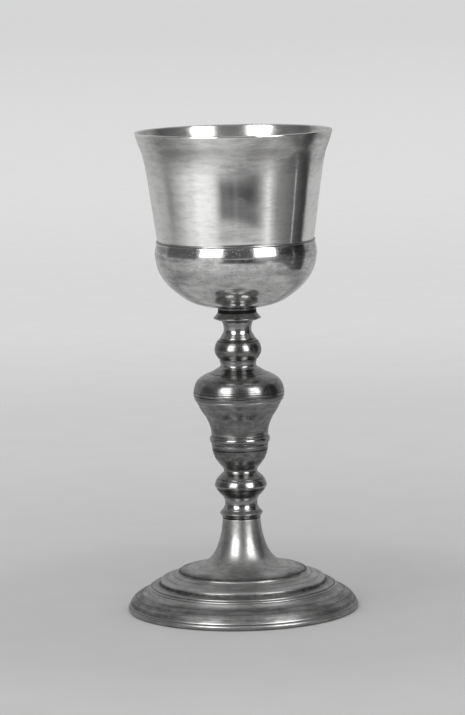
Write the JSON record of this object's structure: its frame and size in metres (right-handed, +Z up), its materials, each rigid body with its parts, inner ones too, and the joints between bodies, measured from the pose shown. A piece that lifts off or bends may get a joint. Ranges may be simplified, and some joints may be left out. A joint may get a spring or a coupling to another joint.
{
  "type": "communion chalice",
  "caption": "Footed altar cup with a flared bowl in a calyx, a turned baluster stem with a knop, and a stepped hollow foot, clamped on a threaded rod.",
  "frame": {"origin": "centre of the face that the foot stands on", "axes": "+Z up, along the stem, towards the cup's mouth"},
  "size_m": [0.1156, 0.1156, 0.2402],
  "materials": {
    "polished_silver_plate": "silver plate, worn polish with fine spinning lines",
    "pitted_silver_plate": "dulled silver plate, pitted and speckled",
    "tarnished_stem_plate": "tarnished silver plate, glossy with dark hollows",
    "tarnished_foot_plate": "tarnished silver plate, spun, with lathe lines",
    "worn_edge_plate": "silver plate rubbed bright on raised edges",
    "raw_brass_inside": "dull unplated brass",
    "rod_steel": "threaded steel, lightly greyed",
    "nut_brass": "machined brass, dulled"
  },
  "bodies": {
    "root": {"cup": "polished_silver_plate", "calyx": "pitted_silver_plate", "calyx_rim_wire": "worn_edge_plate", "cup_boss": "raw_brass_inside", "top_collar": "tarnished_stem_plate", "upper_neck": "tarnished_stem_plate", "upper_knop": "tarnished_stem_plate", "knop_spool": "tarnished_stem_plate", "main_knop_upper": "tarnished_stem_plate", "knop_seam_wire": "worn_edge_plate", "main_knop_lower": "tarnished_stem_plate", "baluster_band": "tarnished_stem_plate", "baluster": "tarnished_stem_plate", "lower_ring_knop": "tarnished_stem_plate", "lower_neck": "tarnished_stem_plate", "foot_collar": "tarnished_stem_plate", "foot_shell": "tarnished_foot_plate", "foot_bead_wires": "worn_edge_plate", "foot_edge_ring": "worn_edge_plate", "foot_plate": "raw_brass_inside", "tie_rod": "rod_steel"},
    "washer": {"washer": "rod_steel"},
    "nut": {"retaining_nut": "nut_brass"}
  },
  "joints": [
    {"name": "washer_drop", "type": "slide", "parent": "root", "child": "washer", "axis": [0, 0, -1], "range_m": [0, 0.009]},
    {"name": "nut_turn", "type": "hinge", "parent": "washer", "child": "nut", "pos_m": [0, 0, 0.0395], "axis": [0, 0, -1], "range_deg": [0, 3240]}
  ],
  "couplings": [
    {"joint": "nut_turn", "follows": "washer_drop", "rad_per_m": 6283.2}
  ]
}
